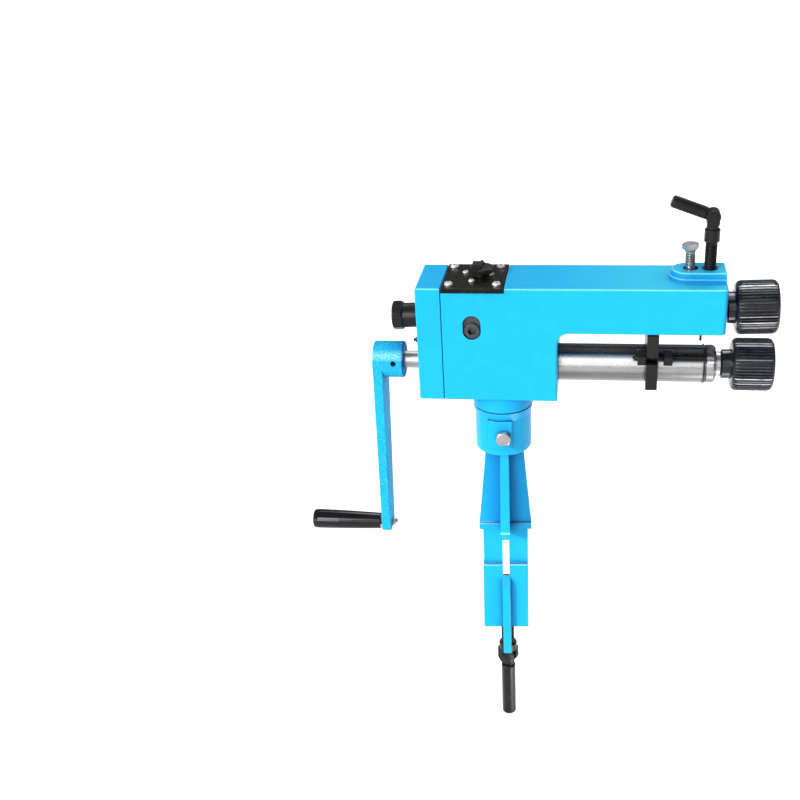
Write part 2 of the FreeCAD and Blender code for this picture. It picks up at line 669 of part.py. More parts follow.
def panhead(x, y, z, r_head, h_head, r_shank, depth):
    """Cross recessed pan head screw standing on height z."""
    s = fuse([cyl(r_shank, depth, (x, y, z - depth), "Z"),
              cyl(r_head, h_head * 0.5, (x, y, z), "Z"),
              cone(r_head, r_head * 0.72, h_head * 0.5, (x, y, z + h_head * 0.5), "Z")])
    w, l, top = r_head * 0.11, r_head * 0.52, z + h_head
    return cut(s, [box(x - l, x + l, y - w, y + w, top - h_head * 0.5, top + 1.0),
                   box(x - w, x + w, y - l, y + l, top - h_head * 0.5, top + 1.0)])


tp = ht + 0.4
for i, (x, y) in enumerate([(-52.0, -27.0), (-2.0, -27.0), (-52.0, 27.0), (-2.0, 27.0)], start=1):
    node(panhead(x, y, tp, 4.6, 3.0, 2.0, 12.5), "plate_screw_%d" % i)
keeper = cut(cyl(23.6, 4.0, (plug_x, 0, ht - 8.7), "Z"),
             [cyl(8.05, 10.0, (plug_x, 0, ht - 10.0), "Z")] + [cyl(1.55, 10.0, (x, y, ht - 10.0), "Z") for x, y in small])
keeper = common(keeper, box(-43.8, -6.2, -19.8, 19.8, ht - 9.0, ht - 4.6))
node(keeper, "plug_keeper")
for i, (x, y) in enumerate(small, start=1):
    node(panhead(x, y, tp, 3.3, 2.2, 1.5, 9.0), "keeper_screw_%d" % i)
plug = fuse([
    hexhead(24.6, 4.6, (plug_x, 0, tp + 6.2), "Z", 26.5),
    cyl(6.2, 7.0, (plug_x, 0, tp), "Z"),
    # square lug to turn the plug by
    box(plug_x - 9.2, plug_x + 0.8, -7.4, 4.0, tp + 0.5, tp + 15.2),
    cyl(8.0, 16.0, (plug_x, 0, tp - 16.0), "Z"),
])
plug = cut(plug, [cyl(2.05, 40.0, (plug_x, 7.6, tp + 8.3), "Z"), cyl(1.5, 16.0, (plug_x, 0, tp - 20.0), "Z")])
node(plug, "hex_plug")
gn = fuse([cyl(2.0, 4.4, (plug_x, 7.6, tp + 8.3), "Z"), cyl(2.7, 1.2, (plug_x, 7.6, tp + 10.8), "Z"),
           sphere(1.8, (plug_x, 7.6, tp + 13.2))])
node(gn, "grease_nipple")

for side, name in ((-1.0, "pivot_screw_front"), (1.0, "pivot_screw_back")):
    a = "-Y" if side < 0 else "Y"
    s = fuse([
        cyl(8.2, 3.4, (D["pivot_x"], side * (hh - 4.5), D["pivot_height"] + 0.5), a),
        # oblong flange that keeps the pin from turning
        cyl(9.3, 1.2, (D["pivot_x"], side * (hh - 4.5), D["pivot_height"] + 0.5), a),
        cyl(9.3, 1.2, (D["pivot_x"], side * (hh - 4.5), D["pivot_height"] + 8.5), a),
        box(D["pivot_x"] - 9.3, D["pivot_x"] + 9.3, (hh - 4.5) if side > 0 else -hh + 3.3,
            (hh - 3.3) if side > 0 else -hh + 4.5, D["pivot_height"] + 0.5, D["pivot_height"] + 8.5),
        cyl(6.0, hh - 4.5 - 19.0, (D["pivot_x"], side * 19.0, D["pivot_height"]), a),
    ])
    s = cut(s, [hexagon(8.0, 8.0, (D["pivot_x"], side * (hh - 6.5), D["pivot_height"]), a, 10.0)])
    node(s, name)

tube = cut(cyl(D["tube_radius"], D["tube_end"] - br + 17.0, (br - 17.0, 0, zs), "X"),
           [cyl(15.0, D["tube_end"] - br + 40.0, (br - 30.0, 0, zs), "X")])
node(tube, "lower_tube")
te, re_ = D["tube_end"], D["ring_end"]
ring = turned("ring_blank", [(13.02, 0), (19.3, 0), (19.3, 0.7), (20.2, 1.4), (20.2, re_ - te - 2.6), (18.4, re_ - te), (13.02, re_ - te)],
              (te + 0.0, 0, zs), "X")
ear = fuse([ring, cyl(5.4, 7.0, (te + 0.6, -25.0, zs + 17.0), "X"), box(te + 0.6, te + 7.6, -25.0, -12.0, zs + 11.0, zs + 17.0)])
ear = cut(ear, [cyl(3.95, 12.0, (te - 2.0, -25.0, zs + 17.0), "X"), cyl(13.02, 30.0, (te - 5.0, 0, zs), "X")])
node(ear, "tube_end_ring")
bush_f = turned("lower_bush_front", [(9.55, 0), (14.98, 0), (14.98, 17.8), (13.0, 17.8), (13.0, re_ - te + 23.4), (12.6, re_ - te + 23.7),
                                     (9.55, re_ - te + 23.7)], (te - 18.0, 0, zs), "X")
node(bush_f, "lower_bush_front")
bush_r = turned("lower_bush_rear", [(9.55, 0), (17.5, 0), (17.5, 2.5), (15.0, 2.5), (15.0, 12.0), (9.55, 12.0)],
                (hl + 10.6, 0, zs), "-X")
node(bush_r, "lower_bush_rear")

stud_y, stud_z = -25.0, zs + 17.0
stud = fuse([cyl(3.9, te - 142.0 + 7.0, (142.0, stud_y, stud_z), "X"), cone(0.8, 3.9, 3.2, (138.8, stud_y, stud_z), "X")])
node(stud, "fence_stud")
node(cyl(1.28, 17.0, (206.5, -31.0, 251.0), "Z"), "arm_dowel")

# ---------------------------------------------------------------- crank and lower shaft
sr_ = D["shaft_radius"]
kl, kr = D["crank_left"], D["crank_right"]
rl, rw = D["roll_left"], D["roll_width"]
crad = D["crank_radius"]
lshaft = turned("lower_shaft_bar", [(0, 0), (sr_ - 1.0, 0), (sr_, 1.0), (sr_, rl + rw - 9.4 - kl), (0, rl + rw - 9.4 - kl)], (kl + 0.4, 0, zs), "X")
gl, gw = D["gear_left"], D["gear_width"]
lshaft = cut(lshaft, [
    cyl(4.02, 20.0, (rl + rw - 25.0, 0, zs), "X"),
    box(gl + 1.0, gl + gw - 1.0, -2.5, 2.5, zs + 7.0, zs + 12.0),
])
node(lshaft, "lower_shaft")

hub = fillet(cyl(D["crank_hub"], kr - kl, (kl, 0, zs), "X"), 1.4, lambda e: e.BoundBox.YLength > 35)
blade = wedge(kl - 4.4, kl + 6.4, -13.6, 13.6, zs - crad - 7.0, zs, kl + 0.1, kl + 11.4, -19.4, 19.4)
doc.recompute()
blade = fillet(blade, 6.0, lambda e: e.BoundBox.ZLength < 0.1 and e.BoundBox.YLength < 0.1
               and e.BoundBox.ZMax < (zs - crad).value)
blade = fillet(blade, 1.4, lambda e: e.BoundBox.ZLength > 150)
arm = cut(fuse([hub, blade]), [
    cyl(sr_ + 0.02, 60.0, (kl - 10.0, 0, zs), "X"),
    cyl(3.02, 30.0, (kr - 10.0, -5.0, zs + 2.6), "-Y"),
    cyl(4.52, 24.0, (kl - 9.0, 0, zs - crad), "X"),
])
node(arm, "crank_arm")
node(cyl(3.0, 6.0, (kr - 10.0, -9.7, zs + 2.6), "-Y"), "crank_set_screw")

gr, gln = D["grip_right"], D["grip_length"]
pinr = D["pin_radius"]
hpin = fuse([
    cyl(pinr, gln + 13.0, (gr - gln + 3.5, 0, zs - crad), "X"),
    cyl(7.0, 2.5, (gr - gln + 1.5, 0, zs - crad), "X"),
    sphere(4.3, (gr + 16.0, 0, zs - crad)),
])
node(hpin, "handle_pin")
gb, gs = D["grip_big"], D["grip_small"]
grip = turned("handle_grip", [
    (pinr + 0.08, 0), (gs - 0.6, 0), (gs, 0.8), (gs + 0.55, 16.0), (gs + 1.15, 34.0), (gs + 1.6, 50.0), (gb, gln - 6.0),
    (gb - 0.3, gln - 2.6), (gb - 1.0, gln - 0.8), (gb - 2.4, gln), (7.3, gln), (7.3, gln - 4.3), (pinr + 0.08, gln - 4.3)],
    (gr, 0, zs - crad), "-X")
node(grip, "handle_grip")


def gear(name, x, z, tooth_up):
    """Spur gear: the groove section is one tooth space, symmetric about its own +X."""
    body = turned(name, [(sr_ + 0.02, 0), (D["gear_tip"] - 0.6, 0), (D["gear_tip"], 0.6), (D["gear_tip"], gw - 0.6),
                         (D["gear_tip"] - 0.6, gw), (sr_ + 0.02, gw)], (x, 0, z), "X")
    pitch = 2 * math.pi / int(D["gear_teeth"].value)
    root, mid, tip = D["gear_root"].value, D["gear_pitch"].value, D["gear_tip"].value
    w_root, w_mid, w_tip = 1.35, 4.45, 6.1
    pts = [(root, -w_root), (mid, -w_mid / 2), (tip + 1.0, -(w_tip / 2 + 0.6)), (tip + 1.0, w_tip / 2 + 0.6), (mid, w_mid / 2), (root, w_root)]
    grooves(body, pts, D["gear_teeth"], gw + 4.0, -2.0)
    # the body's +X after the quarter turn about Y points down: own X -> -Z
    return body


lg = gear("lower_gear_blank", gl, zs, True)
# a space lies at own +X; the lower gear is turned half a pitch so that a tooth stands straight up
n_t = int(D["gear_teeth"].value)
lg.Placement = Placement(lg.Placement.Base, AXES["X"].multiply(Rotation(Vector(0, 0, 1), 180.0 + 180.0 / n_t)))
lg_c = cut(lg, [box(gl - 1.0, gl + gw + 1.0, -2.52, 2.52, zs + 5.0, zs + 12.02)])
node(lg_c, "lower_gear")
node(box(gl + 1.1, gl + gw - 1.1, -2.48, 2.48, zs + 7.02, zs + 12.0), "lower_gear_key")

rr, rc = D["roll_radius"], D["roll_corner"]


def roll(name, z, hub_r, hub_len):
    pts = [(sr_ + 0.02, 0), (hub_r - 1.2, 0), (hub_r, 1.2), (hub_r, hub_len), (rr - rc, hub_len),
           (rr - rc * 0.5, hub_len + rc * 0.134), (rr - rc * 0.134, hub_len + rc * 0.5), (rr, hub_len + rc),
           (rr, hub_len + rw - rc), (rr - rc * 0.134, hub_len + rw - rc * 0.5), (rr - rc * 0.5, hub_len + rw - rc * 0.134),
           (rr - rc, hub_len + rw), (12.0, hub_len + rw), (12.0, hub_len + rw - 9.0), (sr_ + 0.02, hub_len + rw - 9.0)]
    body = turned(name, pts, (rl - hub_len, 0, z), "X")
    r0, r1 = D["roll_radius"] - D["ridge_depth"], D["roll_radius"] + 1.0
    sec = [(r0, -0.62), (D["roll_radius"] - 1.0, -0.95), (D["roll_radius"], -1.2), (r1, -1.75), (r1, 1.75), (D["roll_radius"], 1.2),
           (D["roll_radius"] - 1.0, 0.95), (r0, 0.62)]
    grooves(body, sec, D["ridge_count"], rw + 1.0, hub_len.value + 0.5 if isinstance(hub_len, Dim) else hub_len + 0.5)
    return body


n_r = int(D["ridge_count"].value)
lroll = roll("lower_roll", zs, D["hub_radius"], 10.2)
lroll.Placement = Placement(lroll.Placement.Base, AXES["X"].multiply(Rotation(Vector(0, 0, 1), 180.0 + 180.0 / n_r)))
node(lroll, "lower_roll")


def roll_screw(z):
    s = fuse([
        cyl(11.6, 2.2, (rl + rw - 9.0, 0, z), "X"),
        cyl(6.5, 8.0, (rl + rw - 9.0, 0, z), "X"),
        cyl(4.0, 16.0, (rl + rw - 24.0, 0, z), "X"),
    ])
    return cut(s, [hexagon(6.0, 5.0, (rl + rw - 5.5, 0, z), "X", 0.0)])


node(roll_screw(zs), "lower_roll_screw")

# ---------------------------------------------------------------- swing sleeve, drawn closed and then raised
px, psx = D["pivot_x"], D["press_x"]
sv = D["sleeve_radius"]
s_left, s_right = -48.0, 232.5
sleeve = fuse([
    cyl(sv, s_right - s_left, (s_left, 0, zu), "X"),
    box(px - 16.0, px + 16.0, -28.3, 28.3, zu - 19.5, zu + 19.5),
    box(psx - 10.0, psx + 8.0, -9.0, 9.0, zu, zu + 19.2),
    cyl(9.0, 20.0, (D["stop_x"], 0, zu), "Z"),
    box(24.0, 44.0, -10.0, 10.0, zu - 19.0, zu),
])
sleeve = cut(sleeve, [
    cyl(11.0, 300.0, (-60.0, 0, zu), "X"),
    cyl(13.02, 21.0, (s_left - 1.0, 0, zu), "X"),
    cyl(13.02, 21.0, (s_right - 20.0, 0, zu), "X"),
    cyl(6.05, 10.5, (px, -28.4, D["pivot_height"]), "Y"),
    cyl(6.05, 10.5, (px, 28.4, D["pivot_height"]), "-Y"),
    cyl(D["stop_radius"] + 0.02, 12.0, (D["stop_x"], 0, zu + 12.0), "Z"),
])
node(sleeve, "swing_sleeve", SWING)
node(turned("sleeve_bush_rear", [(9.55, 0), (13.0, 0), (13.0, 20.0), (9.55, 20.0)], (s_left, 0, zu), "X"), "sleeve_bush_rear", SWING)
node(turned("sleeve_bush_front", [(9.55, 0), (13.0, 0), (13.0, 20.0), (9.55, 20.0)], (s_right - 20.0, 0, zu), "X"), "sleeve_bush_front", SWING)
bolt_top = 329.4
sbolt = fuse([
    cyl(D["stop_radius"], bolt_top - 279.0, (D["stop_x"], 0, 279.0), "Z"),
    cone(D["stop_radius"], 7.0, 3.0, (D["stop_x"], 0, bolt_top - 1.5), "Z"),
    hexhead(15.5, 5.4, (D["stop_x"], 0, bolt_top + 1.5), "Z", 8.0, True),
])
node(sbolt, "stop_bolt", SWING)

# ---------------------------------------------------------------- upper shaft
us_left = -117.0
ushaft = cyl(sr_, rl + rw - 9.0 - us_left - 4.0, (us_left + 4.0, 0, zu), "X")
ushaft = cut(ushaft, [
    cyl(4.02, 20.0, (rl + rw - 25.0, 0, zu), "X"),
    box(gl + 1.0, gl + gw - 1.0, -2.5, 2.5, zu + 7.0, zu + 12.0),
])
node(ushaft, "upper_shaft", SWING)
ug = gear("upper_gear_blank", gl, zu, False)
ug.Placement = Placement(ug.Placement.Base, AXES["X"].multiply(Rotation(Vector(0, 0, 1), 0.0)))
ug_c = cut(ug, [box(gl - 1.0, gl + gw + 1.0, -2.52, 2.52, zu + 5.0, zu + 12.02)])
node(ug_c, "upper_gear", SWING)
node(box(gl + 1.1, gl + gw - 1.1, -2.48, 2.48, zu + 7.02, zu + 12.0), "upper_gear_key", SWING)
uroll = roll("upper_roll", zu, 16.6, 7.8)
uroll.Placement = Placement(uroll.Placement.Base, AXES["X"].multiply(Rotation(Vector(0, 0, 1), 0.0)))
node(uroll, "upper_roll", SWING)
node(roll_screw(zu), "upper_roll_screw", SWING)
knob = fuse([
    hexhead(29.2, 11.6, (us_left, 0, zu), "X", 0.0, True),
    cyl(13.3, 18.4, (us_left + 10.4, 0, zu), "X"),
])
knob = cut(knob, [cyl(sr_ + 0.02, 40.0, (us_left + 4.0, 0, zu), "X")])
node(knob, "shaft_knob", SWING)

# ---------------------------------------------------------------- pressure screw
pr = D["press_radius"]
foot_z = raised(psx.value, zu.value + 19.2)[1] + 0.6
foot = cut(cyl(6.5, 5.2, (psx, 0, foot_z), "Z"), [cyl(3.05, 5.0, (psx, 0, foot_z + 2.0), "Z")])
node(foot, "pressure_foot")
pk = 372.8
pscrew = fuse([
    cyl(3.0, 4.0, (psx, 0, foot_z + 2.3), "Z"),
    cyl(pr, 347.2 - foot_z - 5.5, (psx, 0, foot_z + 5.5), "Z"),
    cone(pr, 7.6, 1.5, (psx, 0, 345.2), "Z"),
    cyl(7.8, 12.0, (psx, 0, 346.7), "Z"),
    cone(7.8, 6.4, 1.5, (psx, 0, 358.7), "Z"),
    cyl(6.2, 8.2, (psx, 0, 359.7), "Z"),
    cyl(7.0, 13.0, (psx, 6.5, pk), "-Y"),
    box(psx - 6.2, psx + 6.2, -6.5, 6.5, 364.4, pk),
])
pscrew = cut(pscrew, [
    box(psx - 12.0, psx + 12.0, -3.0, 3.0, 365.6, pk + 12.0),
    cyl(2.5, 20.0, (psx, 10.0, pk), "-Y"),
])
node(pscrew, "pressure_screw")
ppin = fuse([cyl(2.45, 13.0, (psx, 6.5, pk), "-Y"), cyl(3.6, 1.0, (psx, 7.5, pk), "-Y"), cyl(3.6, 1.0, (psx, -6.5, pk), "-Y")])
node(ppin, "pressure_bar_pin")
fold = 20.5
ux, uz = -math.cos(math.radians(fold)), math.sin(math.radians(fold))
BAR = Rotation(Vector(0, 1, 0), -(90.0 - fold))
pbar = fuse([
    cyl(6.8, 5.6, (psx, 2.8, pk), "-Y"),
    cyl(6.3, 33.5, (psx + 9.2 * ux, 0, pk + 9.2 * uz), BAR),
])
tongue = doc.addObject("Part::Box", fresh("box"))
tongue.Length, tongue.Width, tongue.Height = 11.0, 5.6, 12.0
tongue.Placement = Placement(Vector(psx.value, 0, pk), BAR).multiply(Placement(Vector(-5.5, -2.8, 0), Rotation()))
bar_end = doc.addObject("Part::Cone", fresh("cone"))
bar_end.Radius1, bar_end.Radius2, bar_end.Height = 6.3, 4.6, 1.7
bar_end.Placement = Placement(Vector(psx.value + 42.7 * ux, 0, pk + 42.7 * uz), BAR)
pbar = fuse([pbar, tongue, bar_end])
pbar = cut(pbar, [cyl(2.52, 20.0, (psx, 10.0, pk), "-Y")])
node(pbar, "pressure_bar")

# ---------------------------------------------------------------- lift spring on its shelf
seat_x = 32.0
seat_z = raised(seat_x, zu.value - 19.0)[1] - 0.35
spring_r, wire_r = 7.0, 1.3
turns = 4.0
z_lo, z_hi = 230.0 + wire_r, seat_z - wire_r
helix = Part.makeHelix((z_hi - z_lo) / turns, z_hi - z_lo, spring_r)
start = Part.Wire(Part.makeCircle(wire_r, Vector(spring_r, 0, 0), Vector(0, 1, 0.13)))
coil = Part.Wire(helix.Edges).makePipeShell([start], True, True)
coil_obj = doc.addObject("Part::Feature", "lift_spring_coil")
coil_obj.Shape = coil
coil_obj.Placement = Placement(Vector(seat_x, 0, z_lo), Rotation())
node(coil_obj, "lift_spring")

# ---------------------------------------------------------------- fence
fx0, fx1 = 153.0, 165.0
fence = box(fx0, fx1, -34.5, 34.5, 194.5, 256.0)
doc.recompute()
fence = fillet(fence, 1.0, lambda e: e.BoundBox.XLength > 5)
fence = cut(fence, [
    cyl(D["tube_radius"] + 0.08, 30.0, (fx0 - 5.0, 0, zs), "X"),
    cyl(4.0, 30.0, (fx0 - 5.0, stud_y, stud_z), "X"),
    box(fx0 - 5.0, fx0 + 25.0, -40.0, stud_y, stud_z - 4.0, stud_z + 4.0),
    # saddle that clears the swing sleeve
    cyl(19.2, 30.0, (fx0 - 5.0, 0, zu), "X"),
])
node(fence, "fence_plate")
for name, x0 in (("fence_nut_left", 144.0), ("fence_nut_right", 171.0)):
    nut = cut(hexhead(16.0, 9.0, (x0, stud_y, stud_z), "X", 8.0, True), [cyl(3.96, 20.0, (x0 - 5.0, stud_y, stud_z), "X")])
    node(nut, name)

doc.recompute()

# ---------------------------------------------------------------- checks and files
bad = []
for o in doc.Objects:
    if "Invalid" in o.State or "Error" in o.State:
        bad.append("%s (%s): %s" % (o.Name, o.Label, o.State))
for o in nodes:
    s = o.Shape
    if s.isNull() or not s.isValid() or not s.Solids or s.Volume < 1.0:
        bad.append("%s: bad shape" % o.Label)
if bad:
    raise SystemExit("model is broken: " + "; ".join(bad))
names = [o.Label for o in nodes]
assert len(set(names)) == len(names), "names repeat"
os.makedirs("parts", exist_ok=True)
for o in nodes:
    o.Shape.exportStep(os.path.join("parts", o.Label + ".step"))
    b = o.Shape.BoundBox
    print("%-20s solids %d vol %10.1f  x %.1f..%.1f  y %.1f..%.1f  z %.1f..%.1f" % (
        o.Label, len(o.Shape.Solids), o.Shape.Volume, b.XMin, b.XMax, b.YMin, b.YMax, b.ZMin, b.ZMax))
print("nodes", len(nodes))
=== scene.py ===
import json
import math

import bmesh
import bpy
from mathutils import Matrix, Vector


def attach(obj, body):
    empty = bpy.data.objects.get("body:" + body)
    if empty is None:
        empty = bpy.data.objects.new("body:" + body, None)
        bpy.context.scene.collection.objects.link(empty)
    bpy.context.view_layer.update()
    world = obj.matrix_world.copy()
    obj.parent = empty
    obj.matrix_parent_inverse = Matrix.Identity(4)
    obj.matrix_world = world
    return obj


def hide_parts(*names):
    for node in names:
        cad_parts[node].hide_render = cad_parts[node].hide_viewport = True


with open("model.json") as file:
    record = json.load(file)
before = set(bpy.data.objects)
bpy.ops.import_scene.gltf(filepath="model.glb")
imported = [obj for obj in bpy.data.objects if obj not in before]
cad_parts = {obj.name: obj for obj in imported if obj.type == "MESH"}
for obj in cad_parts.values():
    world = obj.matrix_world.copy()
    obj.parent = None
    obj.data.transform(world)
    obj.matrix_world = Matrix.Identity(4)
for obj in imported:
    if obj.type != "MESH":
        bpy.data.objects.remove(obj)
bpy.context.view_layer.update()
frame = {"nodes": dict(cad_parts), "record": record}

nodes = frame["nodes"]
body_of = {n: b for b, members in frame["record"]["behaviour"]["bodies"].items() for n in members}

# ------------------------------------------------------------------ materials


class Mat:
    """A node material that is put together link by link."""

    def __init__(self, name):
        self.m = bpy.data.materials.new(name)
        self.m.use_nodes = True
        self.nt = self.m.node_tree
        self.nt.nodes.clear()
        self.out = self.new("ShaderNodeOutputMaterial")
        self.bsdf = self.new("ShaderNodeBsdfPrincipled")
        self.link(self.bsdf.outputs[0], self.out.inputs[0])
        self.coord = self.new("ShaderNodeTexCoord")

    def new(self, kind, **props):
        n = self.nt.nodes.new(kind)
        for k, v in props.items():
            setattr(n, k, v)
        return n

    def link(self, a, b):
        self.nt.links.new(a, b)

    def put(self, **vals):
        for k, v in vals.items():
            self.bsdf.inputs[k.replace("_", " ")].default_value = v

    def mapped(self, scale=(1, 1, 1), turn=(0, 0, 0)):
        mp = self.new("ShaderNodeMapping")
        mp.inputs["Scale"].default_value = scale
        mp.inputs["Rotation"].default_value = turn
        self.link(self.coord.outputs["Object"], mp.inputs["Vector"])
        return mp.outputs["Vector"]

    def noise(self, scale, detail=3.0, rough=0.5, vec=None, distort=0.0):
        n = self.new("ShaderNodeTexNoise")
        n.inputs["Scale"].default_value = scale
        n.inputs["Detail"].default_value = detail
        n.inputs["Roughness"].default_value = rough
        n.inputs["Distortion"].default_value = distort
        self.link(vec if vec is not None else self.mapped(), n.inputs["Vector"])
        return n.outputs["Fac"]

    def cells(self, scale, feature="F1", smooth=0.6):
        n = self.new("ShaderNodeTexVoronoi", feature="SMOOTH_F1" if feature == "F1" else feature)
        n.inputs["Scale"].default_value = scale
        if "Smoothness" in n.inputs:
            n.inputs["Smoothness"].default_value = smooth
        self.link(self.mapped(), n.inputs["Vector"])
        return n.outputs["Distance"]

    def ramp(self, fac, stops, interp="LINEAR"):
        r = self.new("ShaderNodeValToRGB")
        r.color_ramp.interpolation = interp
        els = r.color_ramp.elements
        while len(els) < len(stops):
            els.new(0.5)
        for e, (p, c) in zip(els, stops):
            e.position = p
            e.color = (c, c, c, 1) if isinstance(c, (int, float)) else (c[0], c[1], c[2], 1)
        self.link(fac, r.inputs[0])
        return r.outputs["Color"]

    def mix(self, fac, a, b, mode="MIX"):
        n = self.new("ShaderNodeMix", data_type="RGBA", blend_type=mode)
        for sock, v in ((n.inputs[0], fac), (n.inputs[6], a), (n.inputs[7], b)):
            if isinstance(v, (int, float)):
                sock.default_value = v
            elif isinstance(v, (tuple, list)):
                sock.default_value = (v[0], v[1], v[2], 1)
            else:
                self.link(v, sock)
        return n.outputs[2]

    def math(self, op, a, b=0.0, clamp=False):
        n = self.new("ShaderNodeMath", operation=op)
        n.use_clamp = clamp
        for sock, v in ((n.inputs[0], a), (n.inputs[1], b)):
            if isinstance(v, (int, float)):
                sock.default_value = v
            else:
                self.link(v, sock)
        return n.outputs[0]

    def edges(self, radius):
        """1 near a sharp outer or inner edge, 0 on flat ground."""
        bev = self.new("ShaderNodeBevel", samples=6)
        bev.inputs["Radius"].default_value = radius
        geo = self.new("ShaderNodeNewGeometry")
        dot = self.new("ShaderNodeVectorMath", operation="DOT_PRODUCT")
        self.link(bev.outputs[0], dot.inputs[0])
        self.link(geo.outputs["Normal"], dot.inputs[1])
        return self.math("SUBTRACT", 1.0, dot.outputs["Value"], clamp=True), bev.outputs[0]

    def hollow(self, distance, samples=6):
        """0 in the open, towards 1 in corners and under ledges."""
        ao = self.new("ShaderNodeAmbientOcclusion", samples=samples)
        ao.inputs["Distance"].default_value = distance
        return self.math("SUBTRACT", 1.0, ao.outputs["AO"], clamp=True)

    def bump(self, layers, normal=None):
        last = normal
        for height, distance, strength in layers:
            b = self.new("ShaderNodeBump")
            b.inputs["Distance"].default_value = distance
            b.inputs["Strength"].default_value = strength
            self.link(height, b.inputs["Height"])
            if last is not None:
                self.link(last, b.inputs["Normal"])
            last = b.outputs[0]
        self.link(last, self.bsdf.inputs["Normal"])


def enamel(name, base, dark, light, peel=0.00010, cast=0.00025, rough=(0.24, 0.36), bevel=0.0011, hammered=False):
    """Blue enamel over a casting: uneven paint, orange peel, edges lightened as thin paint and painted highlight,
    painted highlights on upward edges, painted shade in corners.
    """
    m = Mat(name)
    m.put(Metallic=0.0, Coat_Weight=0.0, Specular_IOR_Level=0.015 if hammered else 0.20)
    broad = m.noise(9.0, 3.0, 0.55)
    fine = m.noise(70.0, 4.0, 0.6)
    col = m.mix(m.ramp(broad, [(0.30, 0.0), (0.72, 1.0)]), dark, base)
    col = m.mix(m.math("MULTIPLY", m.ramp(fine, [(0.55, 0.0), (0.85, 1.0)]), 0.35), col, light)
    edge, soft = m.edges(bevel)
    # edges lighter: partly thin paint, partly a painted highlight along every sharp edge
    col = m.mix(m.math("MULTIPLY", m.ramp(edge, [(0.02, 0.0), (0.22, 1.0)]), 0.30), col, light)
    if not hammered:
        # painted highlight: rounded edges whose smoothed normal looks up and outward are mixed towards pale cyan
        sep = m.new("ShaderNodeSeparateXYZ")
        m.link(soft, sep.inputs[0])
        rise, drop = (m.new("ShaderNodeMapRange", interpolation_type="SMOOTHSTEP") for _ in range(2))
        rise.inputs["From Min"].default_value, rise.inputs["From Max"].default_value = 0.34, 0.56
        drop.inputs["From Min"].default_value, drop.inputs["From Max"].default_value = 0.95, 0.80
        m.link(sep.outputs[2], rise.inputs["Value"])
        m.link(sep.outputs[2], drop.inputs["Value"])
        place = m.new("ShaderNodeSeparateXYZ")
        m.link(m.coord.outputs["Object"], place.inputs[0])
        above = m.math("GREATER_THAN", place.outputs[2], -0.055)
        crest = m.math("MULTIPLY", m.math("MULTIPLY", rise.outputs[0], drop.outputs[0]), m.math("MULTIPLY", above, 0.70))
        # painted highlight: pale lines along the fronts of the two cast ledges of the standard
        for z0, half in ((0.0083, 0.0011), (-0.0478, 0.0009)):
            near = m.math("LESS_THAN", m.math("ABSOLUTE", m.math("SUBTRACT", place.outputs[2], z0)), half)
            front = m.math("LESS_THAN", place.outputs[1], -0.0085)
            crest = m.math("MAXIMUM", crest, m.math("MULTIPLY", m.math("MULTIPLY", near, front), 0.85))
        col = m.mix(crest, col, (0.30, 0.80, 0.97))
        # painted highlight: the top faces of the arm are lighter towards its free end
        out = m.new("ShaderNodeMapRange", interpolation_type="SMOOTHSTEP")
        out.inputs["From Min"].default_value, out.inputs["From Max"].default_value = 0.03, 0.19
        m.link(place.outputs[0], out.inputs["Value"])
        high = m.math("MULTIPLY", m.math("GREATER_THAN", place.outputs[2], 0.2895), m.math("GREATER_THAN", sep.outputs[2], 0.8))
        col = m.mix(m.math("MULTIPLY", m.math("MULTIPLY", out.outputs[0], high), 0.50), col, (0.05, 0.68, 0.84))
    # painted shade: darker blue in corners and under ledges, from ambient occlusion
    painted_shade = m.math("POWER", m.hollow(0.045), 1.15)
    col = m.mix(m.math("MULTIPLY", painted_shade, 1.60, True), col, (0.001, 0.10, 0.36))
    if hammered:
        # painted highlight: sparse pale flecks stand in for glints on the hammered paint
        glint_flecks = m.ramp(m.noise(560.0, 2.0, 0.7), [(0.54, 0.0), (0.66, 1.0)])
        col = m.mix(m.math("MULTIPLY", glint_flecks, 0.30), col, (0.24, 0.76, 0.86))
        # painted highlight: a pale band across the front of the hub
        hub = m.new("ShaderNodeSeparateXYZ")
        m.link(m.coord.outputs["Object"], hub.inputs[0])
        far = m.math("ABSOLUTE", m.math("SUBTRACT", hub.outputs[2], 0.2215))
        hub_highlight_band = m.new("ShaderNodeMapRange", interpolation_type="SMOOTHSTEP")
        hub_highlight_band.inputs["From Min"].default_value, hub_highlight_band.inputs["From Max"].default_value = 0.0065, 0.0005
        m.link(far, hub_highlight_band.inputs["Value"])
        painted_hub_highlight = m.math("MULTIPLY", hub_highlight_band.outputs[0], m.math("LESS_THAN", hub.outputs[1], 0.0))
        col = m.mix(m.math("MULTIPLY", painted_hub_highlight, m.ramp(m.noise(480.0, 2.0, 0.7), [(0.36, 0.12), (0.60, 0.75)])), col, (0.34, 0.80, 0.86))
        pits = m.ramp(m.noise(430.0, 2.0, 0.7), [(0.30, 1.0), (0.44, 0.0)])
        col = m.mix(m.math("MULTIPLY", pits, 0.40), col, (0.004, 0.20, 0.45))
    # dust and scuff marks: sparse, darker, only a hint
    specks = m.ramp(m.noise(420.0, 2.0, 0.7), [(0.70, 0.0), (0.78, 1.0)])
    col = m.mix(m.math("MULTIPLY", specks, 0.10), col, tuple(c * 0.35 for c in dark))
    m.link(col, m.bsdf.inputs["Base Color"])
    r = m.new("ShaderNodeMapRange")
    r.inputs["To Min"].default_value, r.inputs["To Max"].default_value = rough
    m.link(m.noise(28.0, 4.0, 0.65), r.inputs["Value"])
    m.link(r.outputs[0], m.bsdf.inputs["Roughness"])
    layers = [(m.noise(34.0, 2.0, 0.4), cast * 3.0, 0.35), (m.noise(330.0, 2.0, 0.5), peel, 0.55)]
    if hammered:
        layers = [(m.noise(60.0, 3.0, 0.5), cast * 2.0, 0.5), (m.cells(260.0), 0.0007, 0.65), (m.noise(900.0, 2.0, 0.5), peel, 0.5)]
    m.bump(layers, soft)
    return m.m


